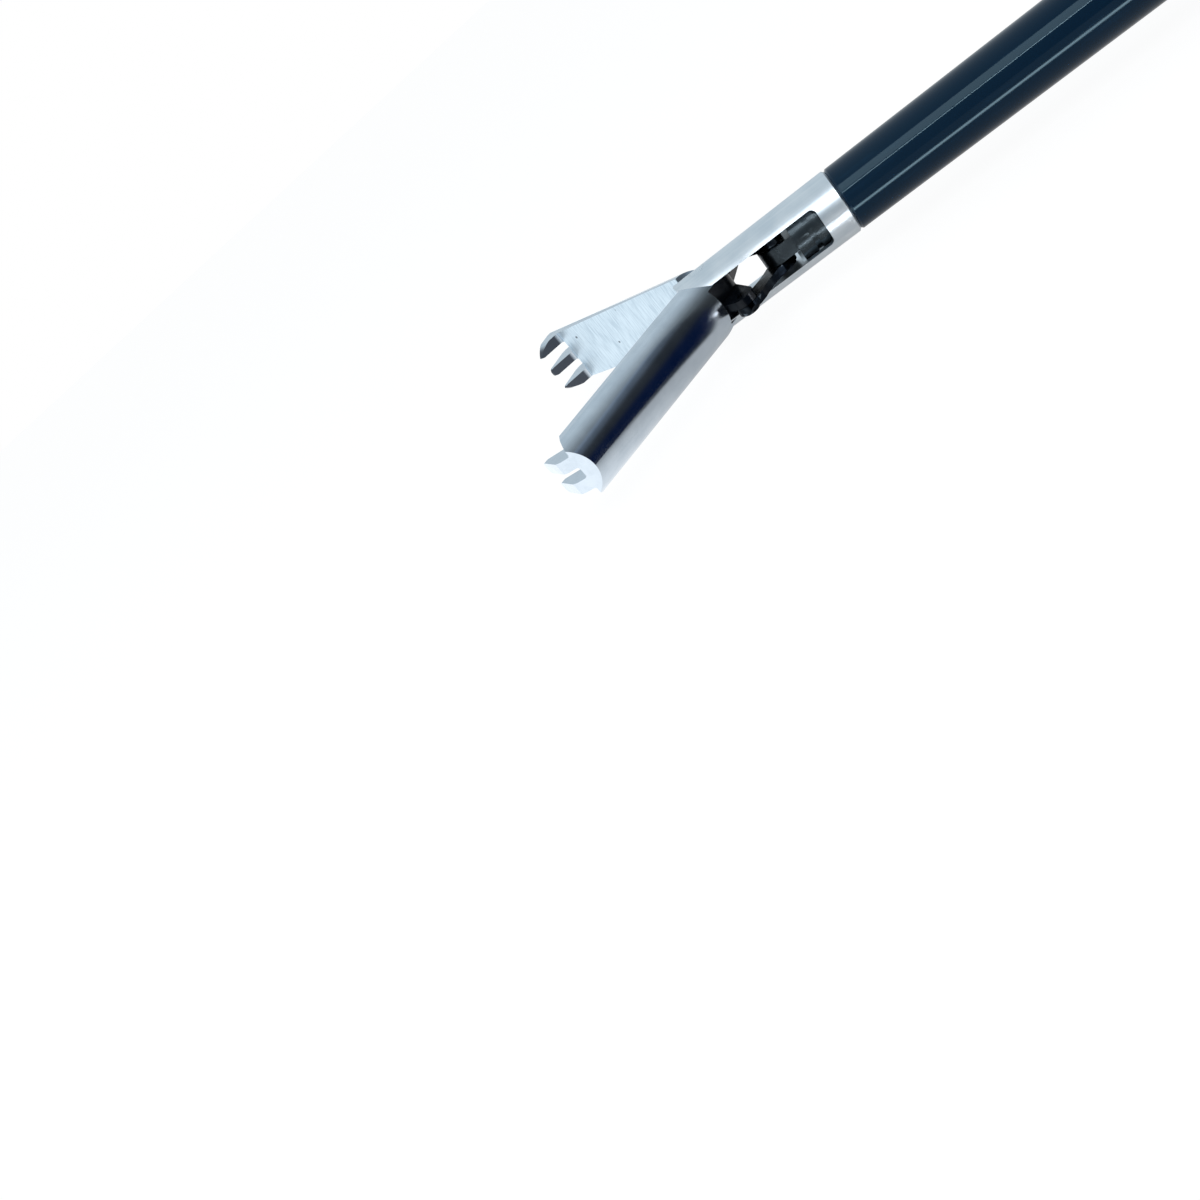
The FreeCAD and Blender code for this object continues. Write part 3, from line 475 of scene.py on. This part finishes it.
class GrasperSizes(bpy.types.PropertyGroup):
    """Sizes of the fine detail."""

    rib_height: length("Rib height", "How far the grip ribs stand out", 0.45)
    rib_width: length("Rib width", "Width of the grip ribs", 0.9)
    rib_pitch: length("Rib pitch", "From one grip rib to the next", 2.1)
    rib_edge: length("Rib edge", "Radius of the grip ribs' edges", 0.25)
    fine_edge: length("Fine edge", "Radius of the edges of the finer ribs", 0.2)
    arm_rib_length: length("Arm rib", "Length of the ribs on the handle's arm", 7.0)
    arm_rib_count: IntProperty(name="Arm ribs", description="Ribs on each side of the arm", default=4, min=1)
    lever_rib_length: length("Lever rib", "Length of the ribs on the lever", 6.0)
    lever_rib_count: IntProperty(name="Lever ribs", description="Ribs on each side of the lever",
                                 default=5, min=1)
    cap_rib_count: IntProperty(name="Cap ribs", description="Ribs round the port cap", default=22, min=3)
    cap_rib_depth: length("Cap rib depth", "Depth of the cap's ribs, partly inside its wall", 0.8)
    cap_rib_width: length("Cap rib width", "Width of the cap's ribs", 0.7)
    cap_lip: length("Cap lip", "From the cap's widest place in to the middle of its ribs", 0.7)
    cap_foot: length("Cap foot", "From the cap's lower edge to its ribs", 1.4)
    cap_crown: length("Cap crown", "From the cap's ribs to its top", 1.1)
    flute_rib_lean: FloatProperty(name="Flute ribs", description="Angle between the ribs in a flute",
                                  default=math.radians(24), subtype="ANGLE", min=0)
    flute_rib_width: length("Flute rib width", "Width of the ribs in the knob's flutes", 0.6)
    flute_rib_depth: length("Flute rib depth", "Depth of those ribs, half of it in the knob", 0.7)
    flute_rib_edge: length("Flute rib edge", "Radius of those ribs' edges", 0.18)
    flute_rear: length("Knob rear", "From the knob's rear end to the ribs", 4.5)
    flute_nose: length("Knob nose", "From the ribs to the knob's front end", 8.0)
    boss_inner: length("Boss hole", "Inner radius of the rings round the hinge screw", 4.5)
    boss_outer: length("Boss", "Outer radius of the rings round the hinge screw", 6.0)
    boss_height: length("Boss height", "How far those rings stand out", 0.5)
    boss_edge: length("Boss edge", "Chamfer of those rings", 0.15)
    plug_r: length("End plug", "Radius of the plug in the rear end of the barrel", 3.6)
    plug_hole: length("Plug hole", "Radius of the hole in that plug", 1.1)
    plug_height: length("Plug height", "How far the plug stands out", 0.6)
    mark_length: length("Index line", "Length of the line on the knob", 7.0)
    mark_half: length("Index half width", "Half of that line's width", 0.35)
    button_rib_length: length("Button rib", "Length of the ribs on the button", 4.2)
    button_rib_width: length("Button rib width", "Width of those ribs", 0.7)
    button_rib_depth: length("Button rib depth", "Depth of those ribs, half of it in the button", 0.6)
    button_rib_pitch: length("Button rib pitch", "From one of those ribs to the next", 1.6)
    seam: length("Parting line", "Height of the mould's parting line", 0.04)


class StageSettings(bpy.types.PropertyGroup):
    """Camera, lamps and floor."""

    focal: FloatProperty(name="Focal length", description="For a 36 mm sensor", default=34.54,
                         unit="CAMERA", min=10, max=200)
    camera_offset: FloatVectorProperty(name="Camera place", description="Camera place from the jaw pivot",
                                       default=(-0.0124, 0.1675, 0.0533), subtype="TRANSLATION", size=3)
    camera_turn: FloatVectorProperty(name="Camera turn", description="Camera rotation", default=CAMERA_TURN,
                                     subtype="EULER", size=3)
    floor_size: FloatProperty(name="Floor size", description="Side of the square floor", default=6.0,
                              unit="LENGTH", min=1, max=20)
    key_level: FloatProperty(name="Key lamp", description="Brightness of the softbox", default=2.8, min=0)
    line_level: FloatProperty(name="Line lamp", description="Brightness of the strip lamp",
                              default=20.0, min=0)
    world_level: FloatProperty(name="Surround", description="Level of the surrounding light", default=0.78,
                               min=0, max=2)
    dark_side: FloatProperty(name="Dark side", description="Loss of light from along the shaft",
                             default=0.95, subtype="FACTOR", min=0, max=1)
    floor_white: FloatProperty(name="Floor white", description="Share of the floor that ignores shadows",
                               default=0.85, subtype="FACTOR", min=0, max=1)
    floor_seen: FloatProperty(name="Floor glow", description="Light of that share, as the camera sees it",
                              default=1.08, min=0, max=2)
    floor_level: FloatProperty(name="Floor level", description="Floor seen in metal", default=0.55, min=0)
    floor_front: FloatProperty(name="Floor front", description="Floor ahead of the jaws, seen in metal",
                               default=1.35, min=0)
    strip_y: FloatProperty(name="Strip place", description="Bright strip on the floor beside the shaft",
                           default=0.019, unit="LENGTH")
    strip_half: FloatProperty(name="Strip half width", description="Half of the strip's width",
                              default=0.0011, unit="LENGTH")
    strip_level: FloatProperty(name="Strip level", description="Brightness of the strip", default=11.0, min=0)
    flag_low: FloatProperty(name="Card foot", description="Lower edge of the dark card", default=-0.0095,
                            unit="LENGTH")
    flag_high: FloatProperty(name="Card top", description="Upper edge of the dark card", default=0.032,
                             unit="LENGTH")
    flag_painted_reflection: FloatProperty(name="Card dark part", description="Height to which the card is darkest",
                             default=0.013, unit="LENGTH")


def look(context):
    """The colours set in the scene."""
    return context.scene.grasper_colours


def detail(context):
    """The sizes set in the scene."""
    return context.scene.grasper_sizes


def rings_about(axis):
    """Grain of a lathe's fine rings round an axis, 0 for X, 1 for Y and 2 for Z."""
    return tuple(RINGS if index == axis else BETWEEN_RINGS for index in range(3))


def turned_steel(name, colours, axis):
    """Satin steel turned about the given axis."""
    return brushed(name, colours.satin, colours.satin_dark, 0.27, rings_about(axis))


def black_plastic(name, colours, **extras):
    """Black plastic of the handle, lever and knob."""
    return moulded(name, colours.plastic, colours.plastic_light, 0.42, **extras)


class GRASPER_OT_jaws(bpy.types.Operator):
    """Finish the two toothed jaws"""

    bl_idname = "grasper.jaws"
    bl_label = "Jaws"

    def execute(self, context):
        colours = look(context)
        dress(["jaw_two_tooth"], jaw_steel("jaw_steel_two", colours, JAW_OPEN, -1))
        dress(["jaw_three_tooth"], jaw_steel("jaw_steel_three", colours, -JAW_OPEN, 1))
        return {"FINISHED"}


class GRASPER_OT_housing(bpy.types.Operator):
    """Finish the slotted housing and the pin that holds the jaws"""

    bl_idname = "grasper.housing"
    bl_label = "Tip housing"

    def execute(self, context):
        colours = look(context)
        steel = brushed("housing_steel", colours.satin, colours.satin_dark, 0.31, HOUSING_GRAIN)
        dress(["tip_housing"], steel)
        dress(["jaw_pivot_pin"], turned_steel("pin_steel", colours, 0))
        return {"FINISHED"}


class GRASPER_OT_linkage(bpy.types.Operator):
    """Finish the links, rivets and the end of the push rod"""

    bl_idname = "grasper.linkage"
    bl_label = "Linkage"

    def execute(self, context):
        colours = look(context)
        dress(["link_two", "link_three", "tail_pin_two", "tail_pin_three", "rod_pin"],
              blackened("black_steel", colours.black_steel, colours.black_worn, 0.18))
        dress(["rod_end_block"], blackened("rod_steel", colours.rod_dark, colours.rod_steel, 0.22))
        dress(["push_rod"], brushed("drawn_rod", colours.rod_steel, colours.rod_dark, 0.3, ROD_GRAIN))
        return {"FINISHED"}


class GRASPER_OT_shaft(bpy.types.Operator):
    """Finish the steel tube, its insulation and the rubber seals"""

    bl_idname = "grasper.shaft"
    bl_label = "Shaft"

    def execute(self, context):
        colours = look(context)
        insulation = glossy_tube("insulation", colours.tube, colours.tube_light, colours.tube_tint)
        dress(["shaft_insulation"], insulation)
        dress(["shaft_tube"], turned_steel("tube_steel", colours, 0))
        dress(["rod_seal", "sleeve_o_ring"], rubbery("seal_rubber", colours.plastic, colours.plastic_light))
        return {"FINISHED"}


class GRASPER_OT_flush(bpy.types.Operator):
    """Finish the flush hub and port, and add ribs to the port's cap"""

    bl_idname = "grasper.flush"
    bl_label = "Flush port"

    def execute(self, context):
        colours, sizes = look(context), detail(context)
        dress(["flush_hub"], turned_steel("hub_steel", colours, 0))
        dress(["flush_port"], turned_steel("port_steel", colours, 1))
        rubber = rubbery("cap_rubber", colours.plastic, colours.plastic_light)
        dress(["port_cap"], rubber)
        low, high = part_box("port_cap")
        foot, top = low.y + sizes.cap_foot, high.y - sizes.cap_crown
        middle = Matrix.Translation(((low.x + high.x) / 2, (foot + top) / 2, (low.z + high.z) / 2))
        wall = Matrix.Translation(((high.x - low.x) / 2 - sizes.cap_lip, 0, 0))
        places = []
        for index in range(sizes.cap_rib_count):
            turn = Matrix.Rotation(math.tau * index / sizes.cap_rib_count, 4, "Y")
            places.append(middle @ turn @ wall)
        bars = ribs(places, (sizes.cap_rib_depth, top - foot, sizes.cap_rib_width), sizes.fine_edge)
        finished("port_cap_ribs", bars, rubber, "cap")
        return {"FINISHED"}


class GRASPER_OT_knob(bpy.types.Operator):
    """Finish the rotation knob and its sleeve, and add ribs to the knob's flutes"""

    bl_idname = "grasper.knob"
    bl_label = "Rotation knob"

    def execute(self, context):
        colours, sizes = look(context), detail(context)
        low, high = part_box("rotation_knob")
        first, last = low.x + sizes.flute_rear, high.x - sizes.flute_nose
        mark = (last - sizes.mark_length, last, sizes.mark_half)
        plastic = black_plastic("knob_plastic", colours, mark=mark)
        dress(["rotation_knob"], plastic)
        centre = Matrix.Translation(((first + last) / 2, FLUTE_REACH, 0))
        floor = Matrix.Translation((0, -FLUTE_R, 0))
        places = []
        for index in range(FLUTE_COUNT):
            flute = Matrix.Rotation(math.tau * (index + 0.5) / FLUTE_COUNT, 4, "X") @ centre
            for side in (-1, 0, 1):
                places.append(flute @ Matrix.Rotation(side * sizes.flute_rib_lean, 4, "X") @ floor)
        size = (last - first, sizes.flute_rib_depth, sizes.flute_rib_width)
        bars = ribs(places, size, sizes.flute_rib_edge)
        finished("knob_flute_ribs", bars, plastic, "shaft")
        dress(["bearing_sleeve"], turned_steel("sleeve_steel", colours, 0))
        return {"FINISHED"}


class GRASPER_OT_handle(bpy.types.Operator):
    """Finish the handle, and add grip ribs, rings round the hinge and a plug in the barrel's end"""

    bl_idname = "grasper.handle"
    bl_label = "Handle"

    def execute(self, context):
        colours, sizes = look(context), detail(context)
        plastic = black_plastic("handle_plastic", colours, seam=sizes.seam)
        dress(["handle_body"], plastic)
        bars = side_ribs(ARM_RIBS, ARM_LEAN, ARM_HALF, sizes.arm_rib_length, sizes.arm_rib_count, sizes)
        finished("arm_grip_ribs", bars, plastic, "handle")
        for name, side in (("boss_ring_screw", 1), ("boss_ring_nut", -1)):
            ring = lathe(self.boss_section(sizes), HINGE + Vector((0, 0, side * HANDLE_HALF)), (0, 0, side))
            finished(name, ring, plastic, "handle")
        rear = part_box("handle_body")[0].x
        plug = lathe(self.plug_section(sizes), (rear, 0, 0), (-1, 0, 0))
        grey = moulded("plug_plastic", colours.grey_plastic, colours.grey_light, 0.4)
        finished("barrel_end_plug", plug, grey, "handle")
        return {"FINISHED"}

    def boss_section(self, sizes):
        """Flat ring with its foot in the yoke and a bevelled outer edge."""
        inner, outer, top, edge = sizes.boss_inner, sizes.boss_outer, sizes.boss_height, sizes.boss_edge
        foot, bevel = -0.2 * MM, 0.4 * MM
        return [(foot, inner), (top - edge, inner), (top, inner + edge), (top, outer - bevel),
                (top - edge, outer - edge), (foot, outer)]

    def plug_section(self, sizes):
        """Domed ring with a stepped hole in its middle."""
        outer, hole, top = sizes.plug_r, sizes.plug_hole, sizes.plug_height
        foot, floor, step, rise, crown = -0.4 * MM, 0.1 * MM, 0.3 * MM, 0.5 * MM, 0.8 * MM
        drop, shoulder, bevel = 0.15 * MM, 0.25 * MM, 0.4 * MM
        return [(foot, hole), (floor, hole), (floor, hole + step), (top - drop, hole + rise),
                (top, hole + crown), (top, outer - bevel), (top - shoulder, outer), (foot, outer)]


def side_ribs(middle, lean, half, across, count, sizes):
    """Ribs on both sides of a plate in the XY plane that is half thick either way.

    The rows run along a line through middle that leans from Y, and the ribs lie across it.
    """
    places = []
    for side in (1, -1):
        for index in range(count):
            shift = (index - (count - 1) / 2) * sizes.rib_pitch
            spot = Matrix.Translation((middle[0], middle[1], side * half))
            turn = Matrix.Rotation(lean, 4, "Z")
            places.append(spot @ turn @ Matrix.Translation((0, shift, 0)))
    return ribs(places, (across, sizes.rib_width, 2 * sizes.rib_height), sizes.rib_edge)


class GRASPER_OT_lever(bpy.types.Operator):
    """Finish the thumb lever and its bush, and add grip ribs"""

    bl_idname = "grasper.lever"
    bl_label = "Thumb lever"

    def execute(self, context):
        colours, sizes = look(context), detail(context)
        plastic = black_plastic("lever_plastic", colours, seam=sizes.seam)
        dress(["thumb_lever"], plastic)
        middle = HINGE.lerp(LEVER_KNEE, KNEE_SHARE)
        lean = math.atan2(LEVER_KNEE.x - HINGE.x, HINGE.y - LEVER_KNEE.y)
        bars = side_ribs(middle, lean, LEVER_HALF, sizes.lever_rib_length, sizes.lever_rib_count, sizes)
        finished("lever_grip_ribs", bars, plastic, "lever")
        dress(["lever_bush"], brushed("bush_brass", colours.brass, colours.brass_dark, 0.25, rings_about(2)))
        return {"FINISHED"}


class GRASPER_OT_hinge(bpy.types.Operator):
    """Finish the hinge screw, its nut and washers, and the drive ball"""

    bl_idname = "grasper.hinge"
    bl_label = "Hinge"

    def execute(self, context):
        steel = turned_steel("screw_steel", look(context), 2)
        dress(["lever_screw", "lever_nut", "hinge_washers", "drive_ball"], steel)
        return {"FINISHED"}


class GRASPER_OT_button(bpy.types.Operator):
    """Finish the release button and its spring, and add ribs to the button"""

    bl_idname = "grasper.button"
    bl_label = "Release button"

    def execute(self, context):
        colours, sizes = look(context), detail(context)
        grey = moulded("button_plastic", colours.grey_plastic, colours.grey_light, 0.38)
        dress(["release_button"], grey)
        low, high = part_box("release_button")
        middle, pitch = (low.x + high.x) / 2, sizes.button_rib_pitch
        places = [Matrix.Translation((middle + shift * pitch, high.y, 0)) for shift in (-1, 0, 1)]
        size = (sizes.button_rib_width, sizes.button_rib_depth, sizes.button_rib_length)
        finished("button_ribs", ribs(places, size, sizes.fine_edge), grey, "button")
        wire = brushed("spring_steel", colours.satin, colours.satin_dark, 0.25, SPRING_GRAIN)
        dress(["button_spring"], wire)
        return {"FINISHED"}


class GRASPER_OT_plug_pin(bpy.types.Operator):
    """Finish the plug pin for the monopolar lead"""

    bl_idname = "grasper.plug_pin"
    bl_label = "Plug pin"

    def execute(self, context):
        colours = look(context)
        dress(["hf_pin"], brushed("pin_brass", colours.brass, colours.brass_dark, 0.22, rings_about(1)))
        return {"FINISHED"}


class GRASPER_OT_stage(bpy.types.Operator):
    """Floor, surround, lamps and camera"""

    bl_idname = "grasper.stage"
    bl_label = "Stage"

    def execute(self, context):
        settings = context.scene.grasper_stage
        self.camera(context, settings)
        self.floor(settings)
        self.flag(settings)
        self.surround(context, settings)
        self.lamps(context, settings)
        context.scene.view_settings.view_transform = "Standard"
        return {"FINISHED"}

    def camera(self, context, settings):
        """Camera fitted to the shaft and jaws."""
        data = bpy.data.cameras.new("camera")
        data.sensor_width = 36
        data.lens = settings.focal
        data.clip_start = 0.01
        camera = bpy.data.objects.new("camera", data)
        camera.location = PIVOT + Vector(settings.camera_offset)
        camera.rotation_euler = settings.camera_turn
        context.scene.collection.objects.link(camera)
        context.scene.camera = camera

    def floor(self, settings):
        """Pale floor that looks white to the camera, keeps the shadow, and lights the metal from below."""
        mesh = bmesh.new()
        bmesh.ops.create_grid(mesh, x_segments=4, y_segments=4, size=settings.floor_size / 2)
        floor = self.prop("floor", mesh, (PIVOT.x, 0, TABLE_Z))
        finish = Finish("floor_white")
        path = finish.node("ShaderNodeLightPath")
        seen = path["Is Camera Ray"].largest(path["Is Transmission Ray"])
        x, y, _ = finish.parts(finish.place())
        blur, strip_end, strip_tip, jaw_tips = MM, -12 * MM, -8 * MM, 40 * MM
        rise = (y - settings.strip_y + settings.strip_half).ramp(-blur, blur)
        fall = (y - settings.strip_y - settings.strip_half).ramp(-blur, blur)
        strip = (rise - fall) * (1 - x.ramp(strip_end, strip_tip)) * settings.strip_level
        glow = x.ramp(0, jaw_tips, settings.floor_level, settings.floor_front) + strip
        strength = seen * settings.floor_seen + (1 - seen) * glow
        white = finish.node("ShaderNodeEmission", inputs={"Color": rgba(WHITE), "Strength": strength})
        finish.set(Base_Color=rgba(FLOOR_PALE), Roughness=0.9)
        share = (seen * settings.floor_white).largest(path["Is Glossy Ray"])
        mix = finish.node("ShaderNodeMixShader", inputs={0: share})
        finish.tree.links.new(finish.shader.outputs[0], mix.node.inputs[1])
        finish.tree.links.new(white.node.outputs[0], mix.node.inputs[2])
        finish.surface(mix)
        floor.data.materials.append(finish.material)

    def flag(self, settings):
        """Dark card behind the jaws, seen only in their polish: a painted reflection of shade, with a faint
        slate glow near its top.
        """
        mesh = bmesh.new()
        low, high, dark = settings.flag_low, settings.flag_high, settings.flag_painted_reflection
        foot = PIVOT + CARD_FOOT
        start, end = CARD_ENDS
        corners = ((start, low), (end, low), (end, high), (start, high))
        mesh.faces.new([mesh.verts.new(foot + CARD_ALONG * t + Vector((0, 0, h))) for t, h in corners])
        flag = self.prop("flag", mesh, (0, 0, 0))
        finish = Finish("flag_painted_reflection")
        z = finish.parts(finish.place())[2]
        foot_fade, navy_top, slate_foot, rise, rim = 5 * MM, 2 * MM, 8 * MM, 7 * MM, 9 * MM
        deep = z.ramp(low, low + foot_fade) * (1 - z.ramp(navy_top, slate_foot))
        tone = deep.blend(CARD_SLATE, CARD_NAVY)
        # painted reflection: the card is black up to its dark part, then glows faintly slate towards its top
        shade = z.ramp(dark, dark + rise, 0.0, 0.14) + z.ramp(high - rim, high, 0.035, 0.4)
        finish.surface(finish.node("ShaderNodeEmission", inputs={"Color": tone, "Strength": shade}))
        flag.data.materials.append(finish.material)
        for kind in ("camera", "diffuse", "transmission", "volume_scatter", "shadow"):
            setattr(flag, "visible_" + kind, False)

    def prop(self, name, mesh, place):
        """Object of the stage from a bmesh."""
        data = bpy.data.meshes.new(name)
        mesh.to_mesh(data)
        mesh.free()
        piece = bpy.data.objects.new(name, data)
        piece.location = place
        bpy.context.scene.collection.objects.link(piece)
        return piece

    def surround(self, context, settings):
        """White to the camera, and soft light with a dark side along the shaft to the metal."""
        world = bpy.data.worlds.new("surround")
        world.use_nodes = True
        context.scene.world = world
        finish = Finish("surround", world.node_tree)
        back = next(n for n in world.node_tree.nodes if n.type == "BACKGROUND")
        path = finish.node("ShaderNodeLightPath")
        seen = path["Is Camera Ray"].largest(path["Is Transmission Ray"])
        direction = finish.node("ShaderNodeTexCoord")["Generated"]
        side = finish.node("ShaderNodeVectorMath", {"operation": "DOT_PRODUCT"},
                           {0: direction, 1: DARK_SIDE})["Value"]
        dim_from, dim_full = -0.1, 0.95
        level = side.ramp(dim_from, dim_full, 1.0, 1.0 - settings.dark_side)
        strength = seen + (1 - seen) * level * settings.world_level
        tint = seen.blend(COOL_WHITE, WHITE)
        finish.feed(back, {"Color": tint, "Strength": strength})

    def lamps(self, context, settings):
        """A softbox for the housing and jaws, and a thin lamp for the line on the shaft."""
        for name, azimuth, elevation, wide, high, radiance in (
            ("key", 95, 52, 0.5, 0.25, settings.key_level),
            ("strip", 108, 37, 0.45, 0.012, settings.line_level),
        ):
            data = bpy.data.lights.new(name, "AREA")
            data.shape = "RECTANGLE"
            data.size = wide
            data.size_y = high
            data.energy = radiance * math.pi * wide * high
            lamp = bpy.data.objects.new(name, data)
            turn = Matrix.Rotation(math.radians(azimuth), 3, "Z")
            lift = Matrix.Rotation(math.radians(-elevation), 3, "Y")
            lamp.location = PIVOT + turn @ lift @ Vector((LAMP_DISTANCE, 0, 0))
            lamp.rotation_euler = (PIVOT - lamp.location).to_track_quat("-Z", "Y").to_euler()
            context.scene.collection.objects.link(lamp)


class GRASPER_PT_panel(bpy.types.Panel):
    """Panel with the builder's buttons"""

    bl_idname = "GRASPER_PT_panel"
    bl_label = "Grasper"
    bl_space_type = "VIEW_3D"
    bl_region_type = "UI"
    bl_category = "Grasper"

    def draw(self, context):
        for operator in OPERATORS:
            self.layout.operator(operator.bl_idname)


OPERATORS = (
    GRASPER_OT_stage,
    GRASPER_OT_jaws,
    GRASPER_OT_housing,
    GRASPER_OT_linkage,
    GRASPER_OT_shaft,
    GRASPER_OT_flush,
    GRASPER_OT_knob,
    GRASPER_OT_handle,
    GRASPER_OT_lever,
    GRASPER_OT_hinge,
    GRASPER_OT_button,
    GRASPER_OT_plug_pin,
)
CLASSES = (GrasperColours, GrasperSizes, StageSettings) + OPERATORS + (GRASPER_PT_panel,)


def register():
    """Adds the classes and their properties."""
    for cls in CLASSES:
        bpy.utils.register_class(cls)
    bpy.types.Scene.grasper_colours = PointerProperty(type=GrasperColours)
    bpy.types.Scene.grasper_sizes = PointerProperty(type=GrasperSizes)
    bpy.types.Scene.grasper_stage = PointerProperty(type=StageSettings)


def unregister():
    """Takes the properties and the classes away again."""
    del bpy.types.Scene.grasper_stage
    del bpy.types.Scene.grasper_sizes
    del bpy.types.Scene.grasper_colours
    for cls in reversed(CLASSES):
        bpy.utils.unregister_class(cls)


def main():
    register()
    for operator in OPERATORS:
        group, name = operator.bl_idname.split(".")
        getattr(getattr(bpy.ops, group), name)()


if __name__ == "__main__":
    main()
